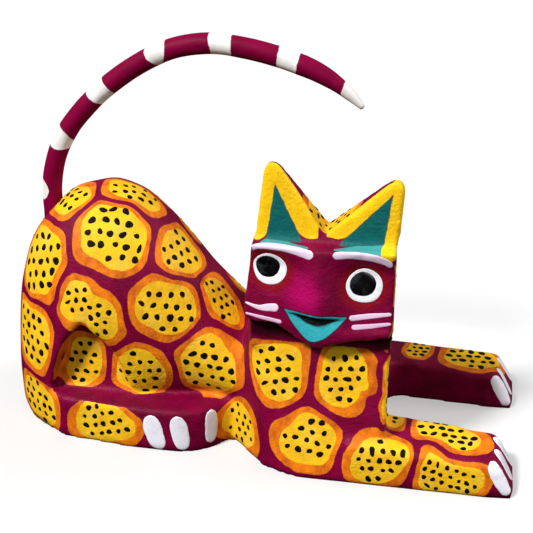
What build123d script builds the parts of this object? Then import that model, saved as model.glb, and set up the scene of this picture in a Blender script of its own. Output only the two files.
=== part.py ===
from build123d import *
import os
from math import copysign, cos, pi, sin

# A reclining cat whittled from one block of copal, with a bent stick for a tail that plugs into the rump.
# Millimetres. +X runs from the rump to the front paws, -Y is the side the face looks to, +Z is up.
# The origin is the middle of the footprint, on the surface that the cat lies on.

# Block
length = 165.0
width = 70.5
back_x = -length / 2
toe_x = length / 2
side_y = width / 2
chest_x = 43.0              # flat sawn face of the chest, in line with the head

# Torso: x station, half width, top height, height of the widest point
torso_stations = [
    (back_x, 6.0, 30.0, 8.0),
    (-79.5, 12.0, 48.0, 10.0),
    (-75.5, 17.0, 60.0, 12.0),
    (-70.0, 21.5, 69.7, 16.0),
    (-61.0, 26.0, 77.0, 22.0),
    (-49.0, 26.5, 79.9, 40.0),
    (-40.0, 25.5, 76.8, 39.5),
    (-31.0, 24.0, 68.3, 38.0),
    (-18.0, 21.0, 52.2, 31.5),
    (4.0, 21.0, 29.5, 20.0),
]
torso_power = 2.3           # 2 is an ellipse, higher is squarer
torso_points = 14

# Hind feet, and the pocket that sets each folded leg off from the haunch
foot_back_x = -66.0
foot_top_z = 15.0
pocket_y = 19.0
pocket_depth = 15.0

# Chest sections: height, left x, near y, far y, share of the shoulder's bevel
chest_sections = [
    (0.0, -8.5, -side_y, side_y, 1.0),
    (26.0, -3.0, -30.5, 27.0, 0.5),
    (41.0, -1.8, -28.4, 15.5, 0.36),
    (51.0, -1.0, -23.0, 8.0, 0.26),
]
bevel_x = 25.5
bevel_y = 20.0
far_chest_x = 38.5          # the chest and the head narrow towards the far side
far_corner_y = 16.0

# Front legs, with a round-ended slot between them
leg_root_z = 14.5
leg_end_z = 12.0
leg_edge_radius = 2.5
slot_width = 33.5
slot_end_x = 38.5
slot_end_y = 2.5            # middle of the slot at its round end
slot_turn = -4.0            # degrees, towards the near paw
slot_radius = 6.0
toe_slope = 6.0
toe_edge_z = 2.5

# Head
brow_z = 76.0
head_left_x = 0.0
head_right_x = 43.8
nose_x = 22.0
notch = (nose_x + 1, 78.5)

# Ears, from the outer edge over the tip and down to the notch
left_ear = [(5.2, 97.2), (6.2, 98.8), (8.0, 99.2), (9.6, 97.9), (14.7, 91.0), (19.1, 84.0)]
right_ear = [(39.8, 94.2), (42.0, 95.5), (43.7, 95.2), (44.9, 93.4)]

# Face sections: height, half width, y at the sides, y of the cheeks, y of the nose
face_sections = [
    (brow_z, 20.0, -32.0, -32.5, -33.0),
    (69.0, 20.7, -29.8, -30.2, -34.2),
    (59.0, 22.0, -30.5, -32.0, -side_y),
    (51.0, 22.6, -31.0, -32.5, -35.0),
]
cheek_half_width = 11.0
face_back_y = -20.0

# Chin sections, below the face: height, reach to the left and right, y at the sides, y of the middle
chin_sections = [
    (51.0, 13.0, 21.3, -31.8, -35.0),
    (49.0, 10.0, 21.0, -31.8, -34.9),
    (47.5, 7.0, 8.5, -33.3, -34.8),
    (45.0, 1.5, 2.0, -33.5, -34.3),
]
chin_back_y = -25.0

# Tail and its drilled socket
tail_radius = 3.2
tip_radius = 0.9
socket_clearance = 0.05
socket_floor_z = 57.0
tail_x = -68.5
bend_start_z = 73.0
tail_route = [(-59.0, 99.6), (-33.5, 120.5), (-9.0, 124.9), (12.0, 119.9)]
tail_tip = (29.7, 108.2)


def torso_section(half_width, top_z, middle_z):
    """Closed superellipse from its widest height to the top, and as far again below."""
    half_height = top_z - middle_z
    outline = []
    for i in range(torso_points):
        angle = 2 * pi * i / torso_points
        across = copysign(abs(cos(angle)) ** (2 / torso_power), cos(angle))
        upward = copysign(abs(sin(angle)) ** (2 / torso_power), sin(angle))
        outline.append((half_width * across, middle_z + half_height * upward))
    return outline


def face_outline(half_width, side_edge_y, cheek_y, nose_y):
    """Level section through the face: flat back, two cheeks and the ridge of the nose."""
    return [
        (nose_x - half_width, face_back_y),
        (nose_x - half_width, side_edge_y),
        (nose_x - cheek_half_width, cheek_y),
        (nose_x, nose_y),
        (nose_x + cheek_half_width, cheek_y),
        (head_right_x, side_edge_y),
        (head_right_x, face_back_y),
    ]


def chest_outline(left_x, near_y, far_y, share):
    """Level section through the chest: square to the right, two bevels at each corner on the left."""
    corner_x = left_x + bevel_x * share
    middle_x = left_x + 0.55 * bevel_x * share
    return [
        (left_x, near_y + bevel_y * share),
        (middle_x, near_y + 0.2 * bevel_y * share),
        (corner_x, near_y),
        (chest_x, near_y),
        (chest_x, far_y),
        (corner_x, far_y),
        (middle_x, far_y - 0.2 * bevel_y * share),
        (left_x, far_y - bevel_y * share),
    ]


with BuildPart() as carved_body:
    # Ears and skull: the front view, cut across by the side view
    with BuildSketch(Plane.XZ):
        with BuildLine():
            Polyline(
                (head_left_x, 40), (head_left_x + 0.5, 51), (2.6, brow_z), *left_ear, notch, *right_ear,
                (head_right_x, brow_z), (head_right_x, 40), close=True,
            )
        make_face()
    extrude(amount=width, both=True)
    with BuildSketch(Plane.YZ):
        with BuildLine():
            Polyline(
                (-28.0, 40), (-28.0, brow_z), (-27.5, 78), (-26.5, 100), (-24.5, 100), (-17.0, 78),
                (12.0, 46), (14.0, 40), close=True,
            )
        make_face()
    extrude(amount=length, both=True, mode=Mode.INTERSECT)

    # Face: brows, eye hollows beside the nose, and the muzzle
    for section_z, half_width, side_edge_y, cheek_y, nose_y in face_sections:
        with BuildSketch(Plane.XY.offset(section_z)):
            with BuildLine():
                Polyline(*face_outline(half_width, side_edge_y, cheek_y, nose_y), close=True)
            make_face()
    loft(ruled=True)

    # Chin: the muzzle drawn to a point that overhangs the chest
    for section_z, left_reach, right_reach, side_edge_y, middle_y in chin_sections:
        with BuildSketch(Plane.XY.offset(section_z)):
            with BuildLine():
                Polyline(
                    (nose_x - left_reach, chin_back_y), (nose_x - left_reach, side_edge_y),
                    (nose_x, middle_y),
                    (nose_x + right_reach, side_edge_y), (nose_x + right_reach, chin_back_y), close=True,
                )
            make_face()
    loft(ruled=True)

    # Torso and haunches
    for station_x, half_width, top_z, middle_z in torso_stations:
        with BuildSketch(Plane.YZ.offset(station_x)):
            with BuildLine():
                Spline(*torso_section(half_width, top_z, middle_z), periodic=True)
            make_face()
    loft(ruled=True)

    # Chest: flares from the neck to the shoulders, and narrows towards the far side
    for section_z, left_x, near_y, far_y, share in chest_sections:
        with BuildSketch(Plane.XY.offset(section_z)):
            with BuildLine():
                Polyline(*chest_outline(left_x, near_y, far_y, share), close=True)
            make_face()
    loft(ruled=True)
    with BuildSketch(Plane.XY):
        with BuildLine():
            Polyline(
                (toe_x, -side_y + 8), (chest_x, -side_y + 8), (far_chest_x, far_corner_y),
                (far_chest_x, width), (toe_x, width), close=True,
            )
        make_face()
    extrude(amount=brow_z, mode=Mode.SUBTRACT)

    # Pocket in each flank, above the back of the foot
    for side in (-1, 1):
        with BuildSketch(Plane.XZ.offset(-side * pocket_y)):
            with BuildLine():
                Polyline(
                    (-65.5, foot_top_z), (-62.5, 26), (-58.5, 35), (-53, 41.5), (-43, 31), (-38, foot_top_z),
                    close=True,
                )
            make_face()
        extrude(amount=-side * pocket_depth, mode=Mode.SUBTRACT)

    # Hind feet: a ledge along each flank, rounded at the toes
    with BuildSketch(Plane.XY):
        with BuildLine():
            Polyline((foot_back_x, 0), (foot_back_x, -22.5), (-61, -26.2))
            Spline((-61, -26.2), (-45, -27.7), (-25, -28.6), (-15.5, -26.2), (-9, -20), (0, -14))
            Line((0, -14), (0, 0))
            mirror(about=Plane.XZ)
        make_face()
    extrude(amount=foot_top_z)

    # Front legs: one tapered slab, cut apart by the slot, with paws that slope down to the toes
    for section_x, section_z in ((chest_x - 12, leg_root_z), (toe_x, leg_end_z)):
        with BuildSketch(Plane.YZ.offset(section_x)) as leg_section:
            with Locations((0, section_z / 2)):
                Rectangle(width, section_z)
            fillet(leg_section.vertices().group_by(Axis.Y)[-1], radius=leg_edge_radius)
    loft(ruled=True)
    with BuildSketch(Plane.XY) as slot:
        with Locations((slot_end_x, slot_end_y)):
            Rectangle(length, slot_width, rotation=slot_turn, align=(Align.MIN, Align.CENTER))
        fillet(slot.vertices().sort_by(Axis.X)[:2], radius=slot_radius)
    extrude(amount=leg_root_z, mode=Mode.SUBTRACT)
    with BuildSketch(Plane.XZ):
        with BuildLine():
            Polyline(
                (toe_x, toe_edge_z), (toe_x - toe_slope, leg_end_z + 1), (toe_x + 1, leg_end_z + 1),
                (toe_x + 1, toe_edge_z), close=True,
            )
        make_face()
    extrude(amount=width, both=True, mode=Mode.SUBTRACT)

    # Flat underside, and the drilled socket for the tail
    split(bisect_by=Plane.XY)
    with Locations((tail_x, 0, socket_floor_z)):
        Cylinder(
            tail_radius + socket_clearance, width, align=(Align.CENTER, Align.CENTER, Align.MIN),
            mode=Mode.SUBTRACT,
        )

with BuildPart() as tail:
    # Stick of even thickness, from the socket up and over the back
    with BuildLine(Plane.XZ) as bend:
        span = Line((tail_x, socket_floor_z), (tail_x, bend_start_z))
        for route_point in tail_route:
            span = TangentArc(span @ 1, route_point, tangent=span % 1)
    with BuildSketch(Plane.XY.offset(socket_floor_z)):
        with Locations((tail_x, 0)):
            Circle(tail_radius)
    sweep(path=bend.wires()[0])

    # Whittled taper to the tip
    with BuildLine(Plane.XZ):
        droop = TangentArc(span @ 1, tail_tip, tangent=span % 1)
    for along, radius in ((0.0, tail_radius), (0.4, 2.7), (0.75, 1.9), (1.0, tip_radius)):
        with BuildSketch(Plane(droop @ along, z_dir=droop % along)):
            Circle(radius)
    loft()

os.makedirs("parts", exist_ok=True)
carved_body.part.label = "carved_body"
tail.part.label = "tail"
export_step(carved_body.part, "parts/carved_body.step")
export_step(tail.part, "parts/tail.step")
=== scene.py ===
import math

import bmesh
import bpy
import numpy as np
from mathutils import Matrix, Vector, noise
from mathutils.bvhtree import BVHTree


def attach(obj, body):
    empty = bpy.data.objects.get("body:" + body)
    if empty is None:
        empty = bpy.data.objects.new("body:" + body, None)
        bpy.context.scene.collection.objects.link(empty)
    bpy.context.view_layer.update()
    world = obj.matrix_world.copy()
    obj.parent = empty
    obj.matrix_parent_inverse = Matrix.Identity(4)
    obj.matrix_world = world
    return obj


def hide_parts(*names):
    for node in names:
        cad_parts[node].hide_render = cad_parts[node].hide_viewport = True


# A painted copal cat, reclining, with a bent stick for a tail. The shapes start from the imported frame.
# Places and sizes are millimetres in the part's frame: +X to the paws, -Y to the face's side, +Z up.

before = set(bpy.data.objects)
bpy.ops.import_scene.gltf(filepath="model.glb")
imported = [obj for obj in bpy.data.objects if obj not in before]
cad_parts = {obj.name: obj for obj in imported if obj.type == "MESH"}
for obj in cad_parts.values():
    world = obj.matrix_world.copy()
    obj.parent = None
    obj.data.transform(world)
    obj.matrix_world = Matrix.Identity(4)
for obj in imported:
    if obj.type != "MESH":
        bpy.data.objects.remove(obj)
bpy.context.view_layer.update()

MM = 0.001

# ---- driving places and sizes

VOXEL = 0.85                   # body mesh spacing before the face is made finer
WHITTLE_DEPTH = 0.25           # slow unevenness that the knife leaves
WHITTLE_SPACING = 13.0
REST_HEIGHT = 0.4              # points below this lie on the ground and stay flat

# Rounds of smoothing: off the voxel steps, wear on the edges, at the toes, over all, and on the face
STEP_ROUNDS = 3
WEAR_ROUNDS = 30
TOE_ROUNDS = 22
FINISH_ROUNDS = 6
FACE_ROUNDS = 14

FACE_BOTTOM_Z = 45.0
BROW_Z = 76.0
HEAD_BACK_Y = -22.0

# Eyes: centre x, centre z, radius of the white, pupil x, pupil z, pupil radius
EYES = [
    (7.5, 68.0, 5.1, 6.9, 68.6, 3.7),
    (35.1, 65.0, 5.3, 34.6, 65.4, 3.9),
]
HALO_WIDTH = 2.0
PAINTED_SHADE_STRENGTH = 0.9                 # strength of the painted shade under the overhang of the face, where its shadow falls
GLOW_X, GLOW_Z = 18.0, 62.0    # the brighter magenta over the nose: partly the paint's own lighter tone, partly a painted highlight on the nose ridge
EYE_HOLLOW = 1.2

# Mouth: a leaf shape cut in under the upper lip
MOUTH_LEFT = (12.3, 56.5)
MOUTH_RIGHT = (30.5, 55.5)
MOUTH_BOTTOM = (20.5, 47.5)
MOUTH_CURVE = 1.6              # 1 is a straight-sided triangle
MOUTH_DEPTH = 2.6
LIP_HEIGHT = 0.6               # teal left above the opening
LIP_DROP = 0.8                 # how fast the cut falls away under the upper lip
LENS_INSET = 1.8               # the dark opening, black paint and painted shadow under the upper lip: how far it stays inside the corners, and its height
LENS_HEIGHT = 3.2

FAR_OUTSIDE = 9.0              # a distance well outside every outline

# Spots: centre, (turn, tilt) of the way each one faces in degrees, half width and half height.
# The long ones have a second lobe: its centre and half size.
FLANK_SPOTS = [
    ((-67.7, -15.7, 57.5), (-33, 18), (14, 14.8)),
    ((-43.8, -17.5, 69.8), (10, 35), (13.2, 14.8)),
    ((-54, -25, 49.5), (5, 12), (9.5, 9.5), (-46, -26.5, 43.5), (8.8, 10.5)),
    ((-26.5, -21, 48), (22, 15), (12.6, 12.8)),
    ((-71.5, -18.8, 32), (-33, 5), (12.8, 14.8)),
    ((-55.7, -19, 24.5), (0, 15), (10.5, 12)),
    ((-35.7, -22.5, 25), (5, 15), (12.5, 11.5)),
    ((-13.5, -20, 27.7), (5, 15), (12.3, 13.6)),
    ((-71.5, -19.5, 9), (-35, 5), (12.5, 11)),
    ((-47, -27.5, 7.5), (-4, 5), (14, 10.5)),
    ((-2.5, -21, 8.5), (-15, 12), (9.5, 11)),
    ((19.5, -33, 12.5), (0, 10), (11.5, 11.5)),
]
NEAR_SPOTS = [
    ((-60, -6, 76), (-30, 65), (11.5, 10)),
    ((-41, -1, 77.5), (20, 70), (13, 10.5)),
    ((-24.5, -7, 60), (45, 35), (12, 12)),
    ((-11.5, -8, 46.5), (45, 38), (9, 11.5)),
    ((10, -29.5, 34), (0, 7), (11.5, 12.5)),
    ((31, -29.5, 33.5), (0, 7), (11, 13.5)),
    ((41.8, -35, 9.2), (0, 15), (12.7, 10)),
    ((58, -35, 7.5), (0, 10), (8, 9.8), (67.5, -35, 5.8), (9, 8.3)),
    ((56.5, -20, 13.7), (0, 72), (10, 9.8), (65.8, -25.5, 12.7), (9.8, 10.8)),
    ((44.7, -20, 14), (0, 70), (7.8, 7.5)),
    ((41, -3.5, 28), (84, 0), (8.5, 10)),
    ((42, -24, 31), (126, 0), (10, 15)),
    ((39.5, 10, 25), (84, 0), (8, 9)),
    ((40, 0, 44), (84, 0), (7.5, 8)),
    ((41, -12, 50), (84, 0), (6, 7)),
    ((41, -13, 66), (84, 0), (6.5, 8)),
    ((43.4, -25, 66), (110, 0), (8, 9)),
    ((43, -25, 48), (110, 0), (8, 8)),
    ((23, -22, 79.5), (0, 85), (14.5, 7.5)),
    ((1, -16, 60), (-90, 5), (8, 9)),
    ((2, -8, 44), (-90, 10), (7, 7)),
]
FAR_SPOTS = [
    ((-50, 14, 74), (170, 50), (12, 9)),
    ((-28, 17.5, 57), (150, 30), (11, 11)),
    ((-11, 17, 41), (150, 32), (9, 10)),
    ((50, 30, 13.5), (0, 80), (7.3, 9)),
    ((66.5, 28.3, 13), (0, 80), (12.3, 11)),
    ((44, 35, 6.5), (180, 5), (11, 7)),
    ((66, 35, 6), (180, 5), (12, 6.5)),
    ((-82, 0, 40), (-90, 10), (10, 12)),
    ((-80, 0, 18), (-90, 5), (11, 9)),
    ((-76, 0, 60), (-90, 35), (8, 9)),
    ((10, 19, 35), (170, 20), (10.5, 11)),
    ((30, 20, 33), (180, 20), (10, 11)),
    ((11.5, -5, 65), (180, 45), (9.5, 10)),
    ((32, -5, 64), (180, 45), (9.5, 10)),
    ((21, 6.5, 50), (180, 45), (11, 8.5)),
    ((38, 5, 50), (160, 40), (6, 7)),
    ((4, 5, 49), (-160, 40), (6, 7)),
]
SPOT_GAP = 1.7                 # bare plum left between neighbours
SPOT_BLEND = 1.0               # how softly the outline turns from one neighbour to the next
SPOT_SCALE = 0.99
SPOT_SEED = 100
SPOT_SQUARENESS = 2.1          # 2 is an ellipse
SPOT_TURN_AWAY = 12.0          # how fast a spot ends where the surface turns away from it
LOBE_BLEND = 7.0
GAP_BLEND = 3.5
RIM_WIDTH = 2.9
RIM_FULL_SIZE = 9.5            # smaller spots have narrower rims
DOT_RADIUS = 0.31              # share of the pitch
DOT_MARGIN = 1.0
PAW_DOT = 1.2                  # how much larger the dots are on the tops of the paws
PAW_TOP_Z = 20.0
DOT_HEIGHT = 0.08
DOT_SIDES = 14

# Strokes on the face: points (x, z), widths at those points, and how thin the paint is
FACE_STROKES = [
    (
        [(1.6, 73.6), (4.5, 74.8), (9, 75), (14, 74.4), (17.5, 73.6), (20.5, 72.7)],
        [1.5, 1.9, 2.1, 2.3, 2.6, 2.8], 0.6,
    ),
    ([(26, 73.4), (31, 74), (36, 73.8), (40, 73), (42.8, 71.6)], [2.3, 2.1, 2.1, 2.1, 1.7], 0.6),
    ([(0.3, 56.5), (4.5, 55.2), (8, 55.5), (10.5, 55.6)], [0.5, 1.2, 2.2, 2.6], 0.5),
    ([(0.3, 53), (5.5, 52), (11.5, 51)], [0.6, 1.1, 1.2], 0.9),
    ([(31.2, 54), (36.5, 55.2), (43.2, 56.4)], [1.7, 1.6, 1.0], 0.7),
    ([(32, 51.2), (37, 52), (43.2, 53.3)], [1.6, 1.4, 0.9], 0.9),
]

# Claws: points (x, y, z), width, and the (turn, tilt) that they are painted from
HIND_CLAWS = [
    ([(-31, -28.5, 13), (-30, -28.5, 7), (-28, -28.5, 0.6)], 6.3, (0, 0)),
    ([(-22.5, -28.5, 13.3), (-21.5, -28.5, 7), (-20.5, -28.5, 0.8)], 5.8, (10, 0)),
    ([(-12.5, -23.5, 14), (-12.5, -23.5, 8.5), (-13, -23.5, 2.2)], 4.8, (45, 0)),
]
NEAR_CLAWS = [
    ([(75.5, -20.8, 12.3), (79, -20.8, 8), (82, -20.5, 3)], 4.8, (60, 40)),
    ([(76, -27.2, 12.3), (79, -28, 8.5), (82, -29, 3.5)], 5.0, (60, 40)),
    ([(74.8, -34, 12), (77.8, -35, 7), (80.9, -35, 1.6)], 4.2, (15, 10)),
]
FAR_CLAWS = [
    ([(75.4, 16.4, 12), (78.4, 16.3, 7), (81, 16.2, 1.5)], 4.3, (20, 10)),
    ([(76.5, 23, 12.3), (79, 22, 8.5), (81.7, 21, 3.5)], 3.4, (60, 40)),
    ([(76.5, 30, 12.3), (79, 30.5, 8.5), (82, 31, 3.5)], 4.2, (60, 40)),
]
CLAW_SHAPE = (0.75, 1.0, 0.95, 0.7)    # share of the width from the root to the tip
CLAW_THINNESS = 0.1
STROKE_HEIGHT = 0.14
STROKE_POINTS = 13
DISC_SIDES = 40
DISC_RINGS = 6
PAINT_SINK = 0.06              # how far the edges of raised paint go into the wood
PUPIL_HEIGHT = 0.3
PUPIL_CROWN = 0.55
FACE_Y = -30.0                 # where rays towards the face are centred
RAY_REACH = 12.0               # how far outside a stroke's path the rays start
SPOT_RAY_REACH = 14.0

# Ears: the teal triangle's corners (x, z), left, tip and right, and where the yellow ends at its two feet
EAR_TRIANGLES = [
    [(6.0, 76.5), (8.4, 93.2), (16.4, 76.5)],
    [(27.5, 76.5), (41.8, 92.0), (39.9, 76.5)],
]
EAR_EDGE = 0.35                # how far round the inner edges of the ears the yellow goes
EAR_FEET = [
    [(1.0, 76.0), (21.0, 77.4)],
    [(23.5, 78.2), (45.0, 75.0)],
]
# Teal on the up-facing step under each ear, lighter than the ear teal as painted light: x, y and half width
# along it
EAR_LEDGES = [
    [(6.5, -30.3, 2.0), (12.0, -30.6, 1.9), (18.0, -31.2, 0.8)],
    [(26.5, -31.2, 0.5), (32.0, -30.8, 2.0), (40.0, -30.3, 2.3)],
]
# Round yellow foot of the outer bar, down over the step: centre x, centre z and radius
EAR_FOOT = (41.7, 75.6, 2.3)

# Tail
TAIL_RADIUS = 3.2
TAIL_TIP_RADIUS = 0.9
SOCKET_FLOOR_Z = 57.0
TAIL_X = -68.5
BEND_START_Z = 73.0
TAIL_ROUTE = [(-59.0, 99.6), (-33.5, 120.5), (-9.0, 124.9), (12.0, 119.9), (29.7, 108.2)]
TAIL_STEP = 0.6
TAIL_SIDES = 32
TAIL_TAPER_LENGTH = 21.6
# Taper: share of its length, and radius there
TAIL_TAPER = [(0, TAIL_RADIUS), (0.4, 2.7), (0.75, 1.9), (1, TAIL_TIP_RADIUS)]
TAIL_SKIN_GAP = 0.06           # keeps the foot clear of the wall of its socket
TAIL_GRAIN = 0.14
# Bands: middle along the tail outside and inside the bend, half length, and reach round from the outside
TAIL_BANDS = [
    (3.0, 3.0, 3.3, 2.9),
    (21.0, 21.0, 3.6, 7.0),
    (41.5, 42.2, 3.4, 12.0),
    (64.3, 63.6, 3.3, 6.1),
    (83.5, 84.4, 3.2, 30.0),
    (103.8, 104.6, 3.1, 30.0),
    (131.3, 132.7, 9.8, 30.0),
]
BAND_NOTCH = 0.3               # the white bands are cut in a little


def srgb(red, green, blue):
    """Linear RGBA from three 8-bit sRGB values."""
    channels = [value / 255 for value in (red, green, blue)]
    return tuple(c / 12.92 if c <= 0.04045 else ((c + 0.055) / 1.055) ** 2.4 for c in channels) + (1.0,)


PLUM = srgb(124, 1, 52)
PLUM_DEEP = srgb(80, 1, 30)
PLUM_BRIGHT = srgb(150, 4, 74)
MAGENTA = srgb(180, 4, 96)
ORANGE = srgb(240, 128, 20)
ORANGE_DEEP = srgb(180, 80, 22)
YELLOW = srgb(245, 193, 28)
YELLOW_DEEP = srgb(222, 158, 34)
YELLOW_PALE = srgb(236, 204, 92)
EAR_YELLOW = srgb(250, 200, 22)
EAR_YELLOW_DEEP = srgb(238, 178, 24)
TEAL_DARK = srgb(16, 100, 98)
TEAL_DEEP = srgb(10, 78, 80)
TEAL_LIGHT = srgb(64, 152, 152)
TEAL_MOUTH = srgb(52, 165, 176)
TEAL_MOUTH_DEEP = srgb(30, 140, 152)
MOUTH_OUTLINE = srgb(60, 2, 26)
MOUTH_INSIDE = srgb(8, 12, 14)
SHADE = srgb(22, 2, 8)
DARK_RED = srgb(130, 8, 28)
WHITE = srgb(243, 243, 250)
WHITE_DULL = srgb(205, 205, 212)
THIN_WHITE = srgb(224, 180, 216)
BAND_WHITE = srgb(236, 233, 230)
BAND_DULL = srgb(205, 200, 195)
BLACK = srgb(10, 8, 9)
DOT_WORN = srgb(30, 24, 22)
# Painted reflection: the grey-blue patches on the glossy pupils.
PUPIL_REFLECTION = srgb(70, 80, 92)


# ---- small geometry helpers

def facing_axes(facing):
    """Across, up and outward unit vectors for a (turn, tilt). Turn 0 faces -Y and 90 faces +X."""
    turn, tilt = (math.radians(angle) for angle in facing)
    across = np.array([math.cos(turn), math.sin(turn), 0.0])
    outward = np.array([
        math.sin(turn) * math.cos(tilt), -math.cos(turn) * math.cos(tilt), math.sin(tilt),
    ])
    return across, np.cross(outward, across), outward


def stroke_distance(x, y, path):
    """Signed distance in a plane to a stroke along points of (x, y, half width)."""
    nearest = np.full(np.shape(x), np.inf)
    for (x0, y0, half0), (x1, y1, half1) in zip(path, path[1:]):
        length_squared = (x1 - x0) ** 2 + (y1 - y0) ** 2
        along = np.clip(((x - x0) * (x1 - x0) + (y - y0) * (y1 - y0)) / length_squared, 0, 1)
        reach = np.hypot(x - x0 - along * (x1 - x0), y - y0 - along * (y1 - y0))
        nearest = np.minimum(nearest, reach - half0 - along * (half1 - half0))
    return nearest


def smooth_path(points, steps):
    """Points along a Catmull-Rom curve through the given points."""
    points = np.array(points, float)
    padded = np.vstack([2 * points[0] - points[1], points, 2 * points[-1] - points[-2]])
    path = []
    for i in range(len(points) - 1):
        a, b, c, d = padded[i:i + 4]
        for t in np.linspace(0, 1, steps, endpoint=False):
            path.append(0.5 * (
                2 * b + (c - a) * t + (2 * a - 5 * b + 4 * c - d) * t * t
                + (3 * b - a - 3 * c + d) * t ** 3
            ))
    path.append(points[-1])
    return np.array(path)


def new_object(name, data):
    """A new object in the scene, for a mesh, a light or a camera."""
    item = bpy.data.objects.new(name, data)
    bpy.context.scene.collection.objects.link(item)
    return item


def new_piece(name, vertices, faces):
    """A smooth mesh object from millimetre points, in the frame's metres."""
    mesh = bpy.data.meshes.new(name)
    mesh.from_pydata([tuple(float(value) * MM for value in vertex) for vertex in vertices], [], faces)
    mesh.update()
    shade_smooth(mesh)
    return new_object(name, mesh)


def shade_smooth(mesh):
    """Rounds the shading of every face."""
    mesh.polygons.foreach_set("use_smooth", [True] * len(mesh.polygons))


def store(mesh, name, values):
    """Keeps one number per vertex on the mesh, for the material to read."""
    layer = mesh.attributes.new(name, "FLOAT", "POINT")
    layer.data.foreach_set("value", np.asarray(values, np.float32))


# ---- body mesh

def remeshed_copy(node, name):
    """The node's solid as one even skin of quads, in a new object."""
    piece = new_object(name, node.data.copy())
    remesh = piece.modifiers.new("remesh", "REMESH")
    remesh.mode = "VOXEL"
    remesh.voxel_size = VOXEL * MM
    evaluated = piece.evaluated_get(bpy.context.evaluated_depsgraph_get())
    piece.data = bpy.data.meshes.new_from_object(evaluated)
    piece.modifiers.clear()
    return piece


def refine_face(mesh):
    """Halves the mesh spacing over the front of the head, where the mouth and the eyes are cut."""
    fine = bmesh.new()
    fine.from_mesh(mesh)
    front = [
        face for face in fine.faces
        if face.calc_center_median().z > (FACE_BOTTOM_Z - 2) * MM
        and face.calc_center_median().y < (HEAD_BACK_Y - 1) * MM
    ]
    edges = list({edge for face in front for edge in face.edges})
    bmesh.ops.subdivide_edges(fine, edges=edges, cuts=1, use_grid_fill=True)
    fine.to_mesh(mesh)
    fine.free()


def read_points(mesh):
    """Vertex places in millimetres, and the vertex pairs of the edges."""
    points = np.empty(len(mesh.vertices) * 3, np.float32)
    mesh.vertices.foreach_get("co", points)
    edges = np.empty(len(mesh.edges) * 2, np.int32)
    mesh.edges.foreach_get("vertices", edges)
    return points.reshape(-1, 3).astype(float) / MM, edges.reshape(-1, 2)


def read_normals(mesh):
    """Unit normals of the vertices."""
    normals = np.empty(len(mesh.vertices) * 3, np.float32)
    mesh.vertex_normals.foreach_get("vector", normals)
    return normals.reshape(-1, 3).astype(float)


def write_points(mesh, points):
    """Puts millimetre places back on the mesh."""
    mesh.vertices.foreach_set("co", (points * MM).astype(np.float32).ravel())
    mesh.update()


def relax(points, edges, weight, rounds):
    """Moves each point towards the mean of its neighbours, by its own weight."""
    first, second = edges[:, 0], edges[:, 1]
    count = np.bincount(edges.ravel(), minlength=len(points))
    for _ in range(rounds):
        mean = np.empty_like(points)
        for axis in range(3):
            total = np.bincount(first, points[second, axis], len(points))
            total += np.bincount(second, points[first, axis], len(points))
            mean[:, axis] = total / count
        points = points + weight[:, None] * (mean - points)
    return points


def ramp(values, low, high):
    """0 below low, 1 above high, with a smooth rise between."""
    share = np.clip((values - low) / (high - low), 0, 1)
    return share * share * (3 - 2 * share)


def mouth_shape(x, z):
    """How far below the upper lip each point is, and the height of the mouth there."""
    (left, left_z), (right, right_z), (bottom, bottom_z) = MOUTH_LEFT, MOUTH_RIGHT, MOUTH_BOTTOM
    top = left_z + (right_z - left_z) * (x - left) / (right - left)
    aside = np.where(x < bottom, (bottom - x) / (bottom - left), (x - bottom) / (right - bottom))
    deepest = left_z + (right_z - left_z) * (bottom - left) / (right - left) - bottom_z
    return top - z, np.maximum(deepest * (1 - aside ** MOUTH_CURVE), 0.01)


def sculpt_face(points, normals):
    """Eye hollows and the cut of the mouth."""
    x, y, z = points.T
    front = ramp(-normals[:, 1], 0.3, 0.7) * ramp(-y, 24, 27) * ramp(z, 43, 45)
    depth = np.zeros(len(points))
    for eye_x, eye_z, radius, *_ in EYES:
        depth += EYE_HOLLOW * np.exp(-((x - eye_x) ** 2 + (z - eye_z) ** 2) / (1.1 * radius) ** 2)
    below, height = mouth_shape(x, z)
    inside = (below > 0) & (below < height) & (x > MOUTH_LEFT[0]) & (x < MOUTH_RIGHT[0])
    share = (x - MOUTH_LEFT[0]) / (MOUTH_RIGHT[0] - MOUTH_LEFT[0])
    swell = np.sin(math.pi * np.clip(share, 0, 1)) ** 0.7
    cut = MOUTH_DEPTH * swell * ramp(below, LIP_HEIGHT - 0.2, LIP_HEIGHT + LIP_DROP)
    cut *= 1 - np.clip(below / height, 0, 1)
    depth += np.where(inside, cut, 0)
    moved = points.copy()
    moved[:, 1] += depth * front
    return moved


def whittle(points, normals):
    """Slow unevenness all over, as a knife leaves it. The underside stays flat."""
    waves = np.array([noise.noise(Vector(point) / WHITTLE_SPACING) for point in points])
    moved = points + normals * (WHITTLE_DEPTH * waves)[:, None]
    moved[points[:, 2] < REST_HEIGHT, 2] = 0.0
    moved[:, 2] = np.maximum(moved[:, 2], 0)
    return moved


def face_middle(points):
    """1 on the flat of the face and 0 at its edges, for rounding the nose."""
    x, y, z = points.T
    return ramp(x, 2, 6) * (1 - ramp(x, 38, 42)) * ramp(z, 49, 54) * (1 - ramp(z, 68, 73)) * ramp(-y, 24, 26)


def crisp_places(points):
    """1 at the ledge of the hind foot and round the pocket above it, 0 elsewhere."""
    x, y, z = points.T
    flank = ramp(np.abs(y), 11, 14) * ramp(x, -68, -66) * (1 - ramp(z, 18, 24))
    pocket = ramp(np.abs(y), 15, 17) * ramp(x, -68, -65) * (1 - ramp(x, -56, -50)) * (1 - ramp(z, 43, 47))
    return np.maximum(flank, pocket)


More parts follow.
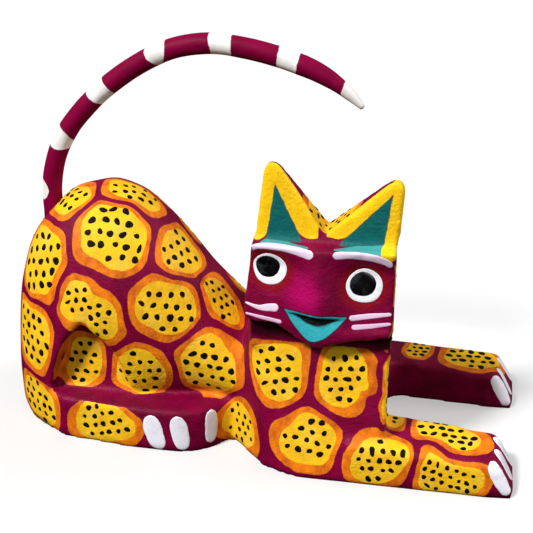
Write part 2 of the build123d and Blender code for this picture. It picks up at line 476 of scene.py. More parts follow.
def wear_edges(points, edges):
    """The whole block rounded by wear: least on the head, most along the back and the flanks."""
    x, _, z = points.T
    resting = z < REST_HEIGHT
    head = ramp(z, 44, 50) * ramp(x, -3, 1)
    above = ramp(z, 34, 40)
    soft = 0.6 * (1 - ramp(x + 18 * above, 10, 22)) * (1 - 0.95 * crisp_places(points))
    toes = 0.5 * ramp(x, 74, 79)
    points = relax(points, edges, 0.5 * (1 - 0.5 * head), STEP_ROUNDS)
    points = relax(points, edges, soft, WEAR_ROUNDS)
    points = relax(points, edges, toes, TOE_ROUNDS)
    points = relax(points, edges, 0.5 * (1 - 0.9 * head), FINISH_ROUNDS)
    points[resting, 2] = 0
    return points


def carve_face(mesh):
    """Points of the body with the nose rounded, and the eye hollows and the mouth cut in a finer mesh."""
    refine_face(mesh)
    points, edges = read_points(mesh)
    front = ramp(-points[:, 1], 20, 24) * ramp(points[:, 2], 43, 46)
    points = relax(points, edges, 0.5 * front, 2)
    points = relax(points, edges, 0.5 * face_middle(points), FACE_ROUNDS)
    write_points(mesh, points)
    points = sculpt_face(points, read_normals(mesh))
    return relax(points, edges, 0.4 * front, 2)


def make_body():
    """The carved block, with its edges rounded by wear, its face cut and its surface whittled."""
    piece = remeshed_copy(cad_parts["carved_body"], "painted_cat")
    mesh = piece.data
    points, edges = read_points(mesh)
    write_points(mesh, wear_edges(points, edges))
    points = carve_face(mesh)
    write_points(mesh, whittle(points, read_normals(mesh)))
    shade_smooth(mesh)
    return piece


# ---- where the paint goes

class Spot:
    """An uneven oval on the surface that faces it, with a rim of uneven width."""

    def __init__(self, seed, centre, facing, half_size, *lobe):
        draw = np.random.default_rng(seed)
        self.centre = np.array(centre, float)
        self.across, self.up, self.outward = facing_axes(facing)
        self.half_width, self.half_height = (SPOT_SCALE * half for half in half_size)
        self.waves = [
            (k, draw.uniform(0.025, 0.06) * 2 / k, draw.uniform(0, 2 * math.pi)) for k in (2, 3, 4, 5, 7)
        ]
        self.rim_waves = [
            (k, draw.uniform(0.4, 0.85) / k ** 0.5, draw.uniform(0, 2 * math.pi)) for k in (1, 2, 3)
        ]
        self.rim_share = min(min(half_size) / RIM_FULL_SIZE, 1.0)
        self.pitch = 0.2 * min(half_size) + 1.1
        on_paw = facing[1] > 65 and centre[2] < PAW_TOP_Z
        self.dot_radius = DOT_RADIUS * self.pitch * (PAW_DOT if on_paw else 1)
        self.draw = draw
        self.lobes = [(self.centre, self.half_width, self.half_height)]
        if lobe:
            lobe_centre, (wide, high) = lobe
            self.lobes.append((np.array(lobe_centre, float), SPOT_SCALE * wide, SPOT_SCALE * high))
            self.half_width *= 1.6
            self.half_height *= 1.6

    def angle(self, points):
        """Where each point lies round the spot."""
        offset = points - self.centre
        return np.arctan2(offset @ self.up / self.half_height, offset @ self.across / self.half_width)

    def distance(self, points, normals):
        """Signed distance to the outline, greater where the surface turns away."""
        angle = self.angle(points)
        edge = 1 + sum(height * np.sin(k * angle + phase) for k, height, phase in self.waves)
        away = np.maximum(0, -0.15 - normals @ self.outward)
        return self.lobe_distance(points, edge) + SPOT_TURN_AWAY * away

    def lobe_distance(self, points, edge):
        """Signed distance to the nearer lobe, with the waist between two lobes filled out."""
        nearest = None
        for centre, half_width, half_height in self.lobes:
            offset = points - centre
            wide = np.abs(offset @ self.across) / half_width
            high = np.abs(offset @ self.up) / half_height
            deep = 0.7 * np.abs(offset @ self.outward) / min(half_width, half_height)
            size = wide ** SPOT_SQUARENESS + high ** SPOT_SQUARENESS + deep ** SPOT_SQUARENESS
            size = np.maximum(size ** (1 / SPOT_SQUARENESS), 1e-6)
            reach = np.linalg.norm(offset, axis=1) * (1 - edge / size)
            nearest = reach if nearest is None else -soft_maximum(-nearest, -reach, LOBE_BLEND)
        return nearest

    def rim(self, points):
        """Width of the orange rim next to each point."""
        angle = self.angle(points)
        waves = sum(height * np.sin(k * angle + phase) for k, height, phase in self.rim_waves)
        return self.rim_share * (RIM_WIDTH + waves)


def mirrored(centre, facing, half_size, *lobe):
    """The same spot on the other flank."""
    flip = np.array([1, -1, 1])
    turn, tilt = facing
    far_lobe = [flip * lobe[0], lobe[1]] if lobe else []
    return (flip * centre, (180 - turn, tilt), half_size, *far_lobe)


def make_spots():
    """All the spots, each with its own seed."""
    rows = FLANK_SPOTS + NEAR_SPOTS + FAR_SPOTS + [mirrored(*row) for row in FLANK_SPOTS]
    return [Spot(SPOT_SEED + number, *row) for number, row in enumerate(rows)]


def spot_fields(spots, points, normals):
    """Signed distances to the orange and the yellow, with a plum gap between spots, and the nearest spot."""
    distance = np.array([spot.distance(points, normals) for spot in spots])
    every = np.arange(len(points))
    nearest = np.argmin(distance, axis=0)
    first = distance[nearest, every]
    weights = np.exp(-distance / SPOT_BLEND)
    weights[nearest, every] = 0
    neighbours = -SPOT_BLEND * np.log(weights.sum(axis=0) + 1e-12)
    orange = soft_maximum(first, SPOT_GAP - (neighbours - first), GAP_BLEND)
    rims = np.array([spot.rim(points) for spot in spots])
    return orange, orange + rims[nearest, every], nearest


def soft_maximum(first, second, blend):
    """The greater of two fields, with the crease between them rounded."""
    crease = np.maximum(blend - np.abs(first - second), 0) / blend
    return np.maximum(first, second) + crease * crease * blend / 4


def triangle_field(x, z, corners):
    """Signed distance to the two slanting sides of a triangle, negative between them."""
    (left_x, left_z), (tip_x, tip_z), (right_x, right_z) = corners
    left_length = math.hypot(tip_x - left_x, tip_z - left_z)
    right_length = math.hypot(tip_x - right_x, tip_z - right_z)
    left = ((tip_x - left_x) * (z - left_z) - (tip_z - left_z) * (x - left_x)) / left_length
    right = ((right_x - tip_x) * (z - tip_z) - (right_z - tip_z) * (x - tip_x)) / right_length
    return np.maximum(left, right)


def face_field(points, normals):
    """Negative on the front of the head, below the ears."""
    x, y, z = points.T
    return np.maximum.reduce([
        (normals[:, 1] + 0.6) * 2.5, y - HEAD_BACK_Y, FACE_BOTTOM_Z - 1.5 - z, z - BROW_Z - 0.5, -2.0 - x,
    ])


def ear_field(points, normals):
    """Negative on the front of the ears."""
    x, y, z = points.T
    edge = normals[:, 1] + EAR_EDGE - 0.6 * ramp(np.abs(x - 24), 17, 19.5)
    return np.maximum.reduce([edge * 2.5, y - HEAD_BACK_Y, BROW_Z + 0.3 - z])


def bare_wood_field(points, normals):
    """Negative on the plum tops of the hind feet and on the sides of the front legs that face each other."""
    x, y, z = points.T
    foot_top = np.maximum.reduce([(0.7 - normals[:, 2]) * 8, 12.0 - z, z - 19.0, x + 3.0, 18.0 - np.abs(y)])
    inner_side = np.maximum.reduce([
        (0.45 - np.abs(normals[:, 1])) * 6, np.sign(y) * normals[:, 1] * 9,
        41.0 - x, np.abs(y) - 22.0, z - 10.0,
    ])
    return np.minimum(foot_top, inner_side)


def halo_field(x, z):
    """Negative within the dark red round each eye."""
    halo = np.full(len(x), FAR_OUTSIDE)
    for eye_x, eye_z, radius, *_ in EYES:
        halo = np.minimum(halo, np.hypot(x - eye_x, z - eye_z) - radius - HALO_WIDTH)
    return halo


def undercut_shade(points, normals):
    """Painted shade: how much darker the colour is made under the overhang of the face and on its underside,
    where the face's shadow falls.
    """
    x, y, z = points.T
    under = ramp(z, 41.5, 46.5) * (1 - ramp(z, 51, 53)) * ramp(x, 0.5, 2)
    under *= ramp(-y, 17, 22) * (1 - ramp(-y, 29, 30.3))
    soffit = ramp(-normals[:, 2], 0.4, 0.8) * ramp(z, 43, 45) * (1 - ramp(z, 51, 53)) * ramp(-y, 22, 24)
    return PAINTED_SHADE_STRENGTH * np.maximum(under, soffit)


def ear_outlines(x, z):
    """Signed distances to the teal triangles and to the yellow bars round them."""
    teal, yellow = np.full(len(x), FAR_OUTSIDE), np.full(len(x), FAR_OUTSIDE)
    for triangle, ((x0, z0), (x1, z1)) in zip(EAR_TRIANGLES, EAR_FEET):
        own = np.maximum(x0 - x, x - x1)
        sides = triangle_field(x, z, triangle)
        foot = z0 + (z1 - z0) * (x - x0) / (x1 - x0) - z
        teal = np.minimum(teal, np.maximum(sides, own))
        yellow = np.minimum(yellow, np.maximum(soft_maximum(-sides, foot, 2.5), own))
    return teal, yellow


def paint_ears(mesh, points, ear):
    """The ears, the teal on the step under them, made lighter as painted light on the up-facing step, and
    the yellow foot that runs down over it.
    """
    x, y, z = points.T
    teal, yellow = ear_outlines(x, z)
    store(mesh, "ear_teal", np.maximum(ear, teal))
    foot_x, foot_z, foot_radius = EAR_FOOT
    foot = np.maximum(np.hypot(x - foot_x, z - foot_z) - foot_radius, y - HEAD_BACK_Y)
    store(mesh, "ear_yellow", np.minimum(np.maximum(ear - 0.5, yellow), foot))
    ledge = np.full(len(points), FAR_OUTSIDE)
    for path in EAR_LEDGES:
        ledge = np.minimum(ledge, stroke_distance(x, y, path))
    store(mesh, "ledge_teal", np.maximum.reduce([ledge, BROW_Z - 1.5 - z, z - BROW_Z - 1.2]))


def paint_mouth(mesh, points, face):
    """The teal of the mouth and the dark lens-shaped opening under its upper lip, partly black paint and
    partly painted shadow in the cut.
    """
    x, _, z = points.T
    left, right = MOUTH_LEFT[0], MOUTH_RIGHT[0]
    below, height = mouth_shape(x, z)
    mouth = np.maximum.reduce([-0.2 - below, (below - height) * 0.7, face, left - x, x - right])
    store(mesh, "mouth_teal", mouth)
    share = np.clip((x - left - LENS_INSET) / (right - left - 2 * LENS_INSET), 0, 1)
    # The dark opening: black paint that also stands in for the shadow under the upper lip.
    lens = LENS_HEIGHT * np.sin(math.pi * share)
    store(mesh, "mouth_dark", np.maximum.reduce([LIP_HEIGHT - below, below - LIP_HEIGHT - lens, mouth]))


def paint(mesh, spots):
    """Stores the edge of each colour on the mesh, negative inside."""
    points, _ = read_points(mesh)
    normals = read_normals(mesh)
    x, y, z = points.T
    face = face_field(points, normals)
    ear = ear_field(points, normals)
    orange, yellow, _ = spot_fields(spots, points, normals)
    step = np.maximum.reduce([y - HEAD_BACK_Y + 4, BROW_Z - 4 - z, z - BROW_Z - 1])
    bare = np.minimum.reduce([face, ear, step, bare_wood_field(points, normals)])
    store(mesh, "orange", np.maximum(orange, -bare))
    store(mesh, "yellow", np.maximum(yellow, -bare))
    store(mesh, "halo", np.maximum(halo_field(x, z), face - 1))
    # Painted shade under the overhang of the face.
    store(mesh, "shade", undercut_shade(points, normals))
    # Brighter magenta over the nose: partly the paint's own tone, partly a painted highlight on the nose
    # ridge.
    glow = np.hypot((x - GLOW_X) / 9, (z - GLOW_Z) / 10)
    store(mesh, "glow", np.where(face < 0, ramp(-glow, -1, 0.1), 0))
    paint_ears(mesh, points, ear)
    paint_mouth(mesh, points, face)


# ---- raised paint

class Surface:
    """Finds the body's surface along a line."""

    def __init__(self, mesh):
        points, _ = read_points(mesh)
        faces = [tuple(face.vertices) for face in mesh.polygons]
        self.tree = BVHTree.FromPolygons([tuple(point) for point in points], faces)

    def along(self, origin, outward, start):
        """The first hit on a line that comes in from outside, as place and normal, or None."""
        origin = Vector(origin) + Vector(outward) * start
        place, normal, _, _ = self.tree.ray_cast(origin, -Vector(outward), 2 * start)
        if place is None:
            return None
        return np.array(place), np.array(normal)


class Relief:
    """Collects the vertices and faces of many small closed shapes for one mesh."""

    def __init__(self):
        self.vertices = []
        self.faces = []

    def add(self, vertices, faces):
        """Adds one closed shape, whose faces count from its own first vertex."""
        first = len(self.vertices)
        self.vertices.extend(vertices)
        self.faces.extend([tuple(first + index for index in face) for face in faces])


def tube_faces(rings, sides):
    """Quads between rings of vertices."""
    faces = []
    for row in range(rings - 1):
        for i in range(sides):
            j = (i + 1) % sides
            near, far = row * sides, (row + 1) * sides
            faces.append((near + i, near + j, far + j, far + i))
    return faces


def ring_faces(rings, sides):
    """Faces of a lens: rings from the outside in, then a top point and a bottom point."""
    faces = tube_faces(rings, sides)
    last, top = (rings - 1) * sides, rings * sides
    for i in range(sides):
        j = (i + 1) % sides
        faces.append((last + i, last + j, top))
        faces.append((j, i, top + 1))
    return faces


def add_dot(relief, place, normal, across, size, draw):
    """One dab of black paint: a low lens, a little uneven, its edge sunk in the surface."""
    side = across - normal * (across @ normal)
    side /= np.linalg.norm(side)
    up = np.cross(normal, side)
    turn = draw.uniform(0, math.pi)
    long = draw.uniform(1.0, 1.18) if draw.uniform() < 0.94 else draw.uniform(1.35, 1.7)
    radius = size * draw.uniform(0.8, 1.15)
    phases = draw.uniform(0, 2 * math.pi, 2)
    vertices = []
    for share, height in ((1.0, -DOT_HEIGHT), (0.82, 0.6 * DOT_HEIGHT), (0.45, DOT_HEIGHT)):
        for i in range(DOT_SIDES):
            angle = 2 * math.pi * i / DOT_SIDES
            uneven = 1 + 0.08 * math.sin(2 * angle + phases[0]) + 0.06 * math.sin(3 * angle + phases[1])
            wide = radius * share * uneven * long * math.cos(angle)
            high = radius * share * uneven / long ** 0.5 * math.sin(angle)
            x = wide * math.cos(turn) - high * math.sin(turn)
            y = wide * math.sin(turn) + high * math.cos(turn)
            vertices.append(place + side * x + up * y + normal * height)
    vertices.append(place + normal * DOT_HEIGHT * 1.05)
    vertices.append(place - normal * 0.3)
    relief.add(vertices, ring_faces(3, DOT_SIDES))


def dot_places(spot, surface):
    """Uneven rows of places on the surface under a spot, with their normals."""
    places, normals = [], []
    turn = spot.draw.uniform(-0.35, 0.35)
    reach = int(1.3 * max(spot.half_width, spot.half_height) / spot.pitch) + 1
    for row in range(-reach, reach + 1):
        for column in range(-reach, reach + 1):
            jitter = spot.draw.uniform(-0.11, 0.11, 2)
            across = (column + 0.35 * (row % 2) + jitter[0]) * spot.pitch
            up = (row + jitter[1]) * spot.pitch
            wide = across * math.cos(turn) - up * math.sin(turn)
            high = across * math.sin(turn) + up * math.cos(turn)
            origin = spot.centre + spot.across * wide + spot.up * high
            hit = surface.along(origin, spot.outward, SPOT_RAY_REACH)
            if hit is not None and hit[1] @ spot.outward > 0.2:
                places.append(hit[0])
                normals.append(hit[1])
    return np.array(places), np.array(normals)


def make_dots(spots, surface):
    """Rows of black dots on the yellow of each spot."""
    relief = Relief()
    for number, spot in enumerate(spots):
        places, normals = dot_places(spot, surface)
        if not len(places):
            continue
        _, yellow, nearest = spot_fields(spots, places, normals)
        clear = np.minimum.reduce([
            field(places, normals) for field in (face_field, ear_field, bare_wood_field)
        ])
        kept = (yellow < -DOT_MARGIN) & (nearest == number) & (clear > 0.5) & (places[:, 2] > 1.0)
        for place, normal in zip(places[kept], normals[kept]):
            add_dot(relief, place, normal, spot.across, spot.dot_radius, spot.draw)
    return new_piece("black_dots", relief.vertices, relief.faces)


def add_stroke(relief, path, widths, outward, surface):
    """A brush stroke laid on the surface: a low ribbon, round at both ends and sunk at its edges."""
    lateral = np.sin(np.linspace(-0.5, 0.5, STROKE_POINTS) * math.pi)
    heights = STROKE_HEIGHT * (1 - lateral ** 6)
    heights[[0, -1]] = -PAINT_SINK
    outward = np.array(outward, float)
    tangents = np.gradient(path, axis=0)
    lengths = np.concatenate([[0], np.cumsum(np.linalg.norm(np.diff(path, axis=0), axis=1))])
    total = lengths[-1]
    sections = []
    for place, tangent, width, along in zip(path, tangents, widths, lengths):
        end = min(along, total - along)
        half = width / 2
        if end < half:
            half *= math.sqrt(max(1 - (1 - end / half) ** 2, 0.02))
        side = np.cross(outward, tangent)
        side /= np.linalg.norm(side)
        half *= 1 + 0.05 * noise.noise(Vector(place) * 0.9)
        row = []
        for share, height in zip(lateral, heights):
            hit = surface.along(place + side * share * half, outward, RAY_REACH)
            if hit is None or hit[1] @ outward < 0.2:
                break
            row.append(hit[0] + hit[1] * height)
        if len(row) == len(lateral):
            sections.append(row)
    count = len(lateral)
    vertices = [vertex for row in sections for vertex in row]
    faces = []
    for i in range(len(sections) - 1):
        for k in range(count - 1):
            a = i * count + k
            faces.append((a, a + count, a + count + 1, a + 1))
        a = i * count
        faces.append((a, a + count - 1, a + 2 * count - 1, a + count))
    last = (len(sections) - 1) * count
    faces.append(tuple(range(count)))
    faces.append(tuple(last + k for k in reversed(range(count))))
    relief.add(vertices, faces)


def resample(path, widths, spacing):
    """Even steps along a path, with the widths carried along."""
    lengths = np.concatenate([[0], np.cumsum(np.linalg.norm(np.diff(path, axis=0), axis=1))])
    steps = max(int(lengths[-1] / spacing), 6)
    even = np.linspace(0, lengths[-1], steps + 1)
    placed = np.array([np.interp(even, lengths, path[:, axis]) for axis in range(path.shape[1])]).T
    return placed, np.interp(even, np.linspace(0, lengths[-1], len(widths)), widths)


def add_disc(relief, centre, radius, height, surface, crown=0.0):
    """A round patch of paint on the face, with a bevelled edge and an optional crown."""
    centre = np.array(centre, float)
    across, up, outward = facing_axes((0, 0))
    vertices = []
    for ring in range(DISC_RINGS):
        share = 1 - ring / DISC_RINGS
        lift = -PAINT_SINK if ring == 0 else height + crown * (1 - share ** 2)
        if ring == 1:
            share = 0.95
            lift = 0.7 * height
        for i in range(DISC_SIDES):
            angle = 2 * math.pi * i / DISC_SIDES
            uneven = 1 + 0.015 * math.sin(3 * angle + centre[0]) + 0.01 * math.sin(5 * angle)
            reach = radius * share * uneven
            origin = centre + (across * math.cos(angle) + up * math.sin(angle)) * reach
            place, normal = surface.along(origin, outward, RAY_REACH)
            vertices.append(place + normal * lift)
    place, normal = surface.along(centre, outward, RAY_REACH)
    vertices.append(place + normal * (height + crown))
    vertices.append(place - normal * 0.6)
    relief.add(vertices, ring_faces(DISC_RINGS, DISC_SIDES))


def make_white_paint(surface):
    """Eye whites, brows, whiskers and claws."""
    relief = Relief()
    for eye_x, eye_z, radius, *_ in EYES:
        add_disc(relief, (eye_x, FACE_Y, eye_z), radius, STROKE_HEIGHT, surface)
    thinness = [0.0] * len(relief.vertices)
    for points, widths, thin in FACE_STROKES:
        flat = smooth_path(points, 8)
        path = np.column_stack([flat[:, 0], np.full(len(flat), FACE_Y), flat[:, 1]])
        path, widths = resample(path, widths, 0.35)
        add_stroke(relief, path, widths, facing_axes((0, 25))[2], surface)
        thinness.extend([thin] * (len(relief.vertices) - len(thinness)))
    far_hind_claws = [
        ([(x, -y, z) for x, y, z in points], width, (180 - turn, tilt))
        for points, width, (turn, tilt) in HIND_CLAWS
    ]
    for points, width, facing in HIND_CLAWS + far_hind_claws + NEAR_CLAWS + FAR_CLAWS:
        path = smooth_path(points, 8)
        path, widths = resample(path, [share * width for share in CLAW_SHAPE], 0.4)
        add_stroke(relief, path, widths, facing_axes(facing)[2], surface)
    thinness.extend([CLAW_THINNESS] * (len(relief.vertices) - len(thinness)))
    piece = new_piece("white_paint", relief.vertices, relief.faces)
    store(piece.data, "thin", thinness)
    return piece


def make_pupils(surface):
    """Glossy black drops on the eye whites."""
    relief = Relief()
    for *_, pupil_x, pupil_z, radius in EYES:
        centre = (pupil_x, FACE_Y, pupil_z)
        add_disc(relief, centre, radius, PUPIL_HEIGHT, surface, crown=PUPIL_CROWN)
    return new_piece("pupils", relief.vertices, relief.faces)


# ---- tail

def tail_line():
    """Points (x, z), headings and lengths along the tail: a straight foot, then arcs that run on."""
    points, headings, lengths = [], [], []
    foot = BEND_START_Z - SOCKET_FLOOR_Z
    steps = round(foot / TAIL_STEP)
    for i in range(steps):
        along = foot * i / steps
        points.append((TAIL_X, SOCKET_FLOOR_Z + along))
        headings.append(math.pi / 2)
        lengths.append(along - foot)
    x, z, heading, travelled = TAIL_X, BEND_START_Z, math.pi / 2, 0.0
    for end_x, end_z in TAIL_ROUTE:
        chord = math.hypot(end_x - x, end_z - z)
        turn = heading - math.atan2(end_z - z, end_x - x)
        radius = chord / (2 * math.sin(turn))
        steps = round(chord / TAIL_STEP)
        last = (end_x, end_z) == TAIL_ROUTE[-1]
        for i in range(steps + last):
            angle = heading - 2 * turn * i / steps
            points.append((
                x + radius * (math.sin(heading) - math.sin(angle)),
                z - radius * (math.cos(heading) - math.cos(angle)),
            ))
            headings.append(angle)
            lengths.append(travelled + radius * 2 * turn * i / steps)
        travelled += radius * 2 * turn
        heading -= 2 * turn
        x, z = end_x, end_z
    return points, headings, lengths


def band_field(along, outer):
    """Signed distance to the nearest white band, along the tail. outer runs from 1 outside to -1 inside."""
    nearest = np.full(np.shape(along), FAR_OUTSIDE)
    reach_in = TAIL_RADIUS * (1 - outer)
    for outer_middle, inner_middle, half, reach in TAIL_BANDS:
        middle = outer_middle + (inner_middle - outer_middle) * (1 - outer) / 2
        narrowing = np.sqrt(np.clip(1 - (reach_in / reach) ** 2, 0, 1))
        past = np.where(reach_in > reach, reach_in - reach, 0)
        nearest = np.minimum(nearest, np.abs(along - middle) - half * narrowing + past)
    return nearest


def tail_ring(x, z, heading, along, radius, shaved):
    """One ring of vertices round the tail, and each one's distance to the nearest white band."""
    vertices, bands = [], []
    for i in range(TAIL_SIDES):
        angle = 2 * math.pi * i / TAIL_SIDES
        outer = math.cos(angle)
        band = float(band_field(np.array(along), outer))
        grain = noise.noise(Vector((along / 9, outer, math.sin(angle)))) * TAIL_GRAIN
        notch = BAND_NOTCH * float(ramp(np.array(-band), -0.2, 0.9)) * (0.5 + 0.5 * outer)
        reach = radius - TAIL_SKIN_GAP + (0 if along < 0 else grain - notch * shaved)
        out = reach * outer
        vertices.append((
            x - math.sin(heading) * out, reach * math.sin(angle), z + math.cos(heading) * out,
        ))
        bands.append(band)
    return vertices, bands


def make_tail():
    """The bent stick, tapered over its last arc and shaved in a little at the white bands."""
    points, headings, lengths = tail_line()
    taper_start = lengths[-1] - TAIL_TAPER_LENGTH
    vertices, bands = [], []
    for (x, z), heading, along in zip(points, headings, lengths):
        share = max(along - taper_start, 0) / TAIL_TAPER_LENGTH
        radius = np.interp(share, *zip(*TAIL_TAPER))
        ring, ring_bands = tail_ring(x, z, heading, along, radius, share == 0)
        vertices.extend(ring)
        bands.extend(ring_bands)
    faces = tube_faces(len(points), TAIL_SIDES)
    x, z = points[-1]
    tip = TAIL_TIP_RADIUS * 0.5
    vertices.append((x + math.cos(headings[-1]) * tip, 0, z + math.sin(headings[-1]) * tip))
    bands.append(-3.0)
    last = (len(points) - 1) * TAIL_SIDES
    for i in range(TAIL_SIDES):
        faces.append((last + i, last + (i + 1) % TAIL_SIDES, len(vertices) - 1))
    faces.append(tuple(reversed(range(TAIL_SIDES))))
    piece = new_piece("painted_tail", vertices, faces)
    store(piece.data, "band", bands)
    return piece


# ---- materials

def feed(tree, socket, value):
    """Links an output to the socket, or sets the socket to a plain value."""
    if isinstance(value, bpy.types.NodeSocket):
        tree.links.new(value, socket)
    else:
        socket.default_value = value


def add_node(tree, kind, inputs=None, **settings):
    """Adds a shader node with its settings, and feeds its inputs by name or number."""
    made = tree.nodes.new(kind)
    for name, value in settings.items():
        setattr(made, name, value)
    for name, value in (inputs or {}).items():
        feed(tree, made.inputs[name], value)
    return made


def start_material(name, **surface):
    """A new material with plain values set on its shader, its node tree and the shader."""
    material = bpy.data.materials.new(name)
    material.use_nodes = True
    tree = material.node_tree
    shader = tree.nodes["Principled BSDF"]
    for socket, value in surface.items():
        shader.inputs[socket.replace("_", " ").title().replace("Ior", "IOR")].default_value = value
    return material, tree, shader


def object_noise(tree, spacing, stretch=(1, 1, 1), detail=3.0, roughness=0.55):
    """Noise with features of that many millimetres, fixed to the object."""
    place = add_node(tree, "ShaderNodeTexCoord")
    mapping = add_node(tree, "ShaderNodeMapping", {"Vector": place.outputs["Object"], "Scale": stretch})
    texture = add_node(tree, "ShaderNodeTexNoise", {
        "Vector": mapping.outputs["Vector"], "Scale": 1 / (spacing * MM),
        "Detail": detail, "Roughness": roughness,
    })
    return texture.outputs["Fac"]


def spread(tree, value, low, high, to_low=0.0, to_high=1.0):
    """Maps a value from one range to another, held at both ends."""
    made = add_node(tree, "ShaderNodeMapRange", {
        "Value": value, "From Min": low, "From Max": high, "To Min": to_low, "To Max": to_high,
    })
    return made.outputs["Result"]


def mix(tree, share, below, above):
    """One colour over another."""
    made = add_node(tree, "ShaderNodeMix", {0: share, 6: below, 7: above}, data_type="RGBA")
    return made.outputs[2]


def stored(tree, name):
    """The number that is kept on the mesh under that name."""
    return add_node(tree, "ShaderNodeAttribute", attribute_name=name).outputs["Fac"]


def painted_area(tree, name, wobble, edge=0.12, grow=0.0):
    """1 inside the stored outline and 0 outside, with a brushed edge."""
    field = add_node(tree, "ShaderNodeMath", {0: stored(tree, name), 1: wobble}, operation="ADD")
    return spread(tree, field.outputs[0], grow + edge, grow - edge)


def brushed_bump(tree, shader, grain_depth, brush_depth):
    """Fine grain in the paint over soft brush marks."""
    grain = object_noise(tree, 0.8, detail=3.0)
    brush = object_noise(tree, 4.0, detail=5.0, roughness=0.6)
    low = add_node(tree, "ShaderNodeBump", {"Height": brush, "Distance": brush_depth * MM, "Strength": 1.0})
    high = add_node(tree, "ShaderNodeBump", {
        "Height": grain, "Distance": grain_depth * MM, "Strength": 1.0, "Normal": low.outputs["Normal"],
    })
    tree.links.new(high.outputs["Normal"], shader.inputs["Normal"])


def mottled(tree, colour, deep, spacing, low=0.45, high=0.75, amount=1.0, **noise_settings):
    """A colour with patches where the coat is thinner or darker."""
    patches = spread(tree, object_noise(tree, spacing, **noise_settings), low, high, 0.0, amount)
    return mix(tree, patches, colour, deep)


def painted_wood():
    """Every colour of the body, each one inside the outline stored for it."""
    material, tree, shader = start_material("painted_wood", specular_ior_level=0.12)
    wobble = spread(tree, object_noise(tree, 2.5, detail=2.0), 0.3, 0.7, -0.2, 0.2)
    fine_wobble = spread(tree, object_noise(tree, 3.0, detail=1.0), 0.3, 0.7, -0.1, 0.1)
    plum = mottled(tree, PLUM, PLUM_DEEP, 9.0, 0.4, 0.8, 0.8)
    plum = mix(tree, spread(tree, object_noise(tree, 5.0), 0.55, 0.85, 0.0, 0.6), plum, PLUM_BRIGHT)
    orange = mottled(tree, ORANGE, ORANGE_DEEP, 4.0, 0.38, 0.7, 0.9, stretch=(1.3, 1.3, 0.8), detail=5.0)
    yellow = mottled(tree, YELLOW, YELLOW_DEEP, 4.5, 0.42, 0.75, 0.8, detail=5.0)
    yellow = mix(tree, spread(tree, object_noise(tree, 7.0), 0.5, 0.8, 0.0, 0.5), yellow, YELLOW_PALE)
    colour = mix(tree, painted_area(tree, "orange", wobble), plum, orange)
    colour = mix(tree, painted_area(tree, "yellow", wobble), colour, yellow)
    # Brighter magenta over the nose, partly a painted highlight.
    colour = mix(tree, stored(tree, "glow"), colour, MAGENTA)
    colour = mix(tree, painted_area(tree, "halo", wobble, 1.0), colour, DARK_RED)
    teal = mottled(tree, TEAL_DARK, TEAL_DEEP, 3.0, 0.4, 0.8, 0.8, stretch=(1, 1, 3))
    colour = mix(tree, painted_area(tree, "ear_teal", fine_wobble), colour, teal)
    # Teal on the step under the ears, made lighter as painted light on the up-facing step.
    colour = mix(tree, painted_area(tree, "ledge_teal", fine_wobble), colour, TEAL_LIGHT)
    ear = mottled(tree, EAR_YELLOW, EAR_YELLOW_DEEP, 3.0, 0.45, 0.8, 0.7)
    colour = mix(tree, painted_area(tree, "ear_yellow", fine_wobble), colour, ear)
    colour = mix(tree, painted_area(tree, "mouth_teal", fine_wobble, 0.15, 0.35), colour, MOUTH_OUTLINE)
    lip = mottled(tree, TEAL_MOUTH, TEAL_MOUTH_DEEP, 2.5, 0.4, 0.8, 0.8)
    colour = mix(tree, painted_area(tree, "mouth_teal", fine_wobble), colour, lip)
    # The dark opening of the mouth: black paint and painted shadow under the upper lip, with a soft
    # shadow-like edge.
    colour = mix(tree, painted_area(tree, "mouth_dark", fine_wobble, 0.35), colour, MOUTH_INSIDE)
    # Painted shade: every colour darkened under the overhang of the face.
    colour = mix(tree, stored(tree, "shade"), colour, SHADE)
    tree.links.new(colour, shader.inputs["Base Color"])
    gloss = spread(tree, object_noise(tree, 6.0), 0.3, 0.7, 0.42, 0.58)
    tree.links.new(gloss, shader.inputs["Roughness"])
    brushed_bump(tree, shader, 0.24, 0.35)
    return material


def tail_paint():
    """Plum with white bands."""
    material, tree, shader = start_material("tail_paint", specular_ior_level=0.06)
    wobble = spread(tree, object_noise(tree, 2.0), 0.3, 0.7, -0.15, 0.15)
    plum = mottled(tree, PLUM, PLUM_DEEP, 6.0, 0.45, 0.8, 0.6)
    white = mottled(tree, BAND_WHITE, BAND_DULL, 4.0, 0.45, 0.8, 0.6)
    colour = mix(tree, painted_area(tree, "band", wobble), plum, white)
    tree.links.new(colour, shader.inputs["Base Color"])
    tree.links.new(spread(tree, object_noise(tree, 5.0), 0.3, 0.7, 0.45, 0.6), shader.inputs["Roughness"])
    brushed_bump(tree, shader, 0.04, 0.2)
    return material


def white_paint():
    """White for the eyes, strokes and claws, more lilac where it is thin."""
    material, tree, shader = start_material("white_paint", specular_ior_level=0.2)
    white = mottled(tree, WHITE, WHITE_DULL, 3.0, 0.5, 0.85, 0.7)
    tree.links.new(mix(tree, stored(tree, "thin"), white, THIN_WHITE), shader.inputs["Base Color"])
    tree.links.new(spread(tree, object_noise(tree, 4.0), 0.3, 0.7, 0.4, 0.55), shader.inputs["Roughness"])
    brushed_bump(tree, shader, 0.05, 0.15)
    return material


def black_paint(name, roughness, coat, wear_and_reflection, spacing):
    """Black with patches, from matt dabs to the gloss of the pupils: wear on the dabs, and a painted
    grey-blue reflection on the pupils.
    """
    material, tree, shader = start_material(
        name, specular_ior_level=0.1 + 0.6 * coat, coat_weight=coat, coat_roughness=0.12,
    )
    tree.links.new(mottled(tree, BLACK, wear_and_reflection, spacing, 0.5, 0.85, 0.7), shader.inputs["Base Color"])
    low, high = roughness
    tree.links.new(spread(tree, object_noise(tree, 1.5), 0.3, 0.7, low, high), shader.inputs["Roughness"])
    brushed_bump(tree, shader, 0.02, 0.08)
    return material


# ---- stage, light and camera

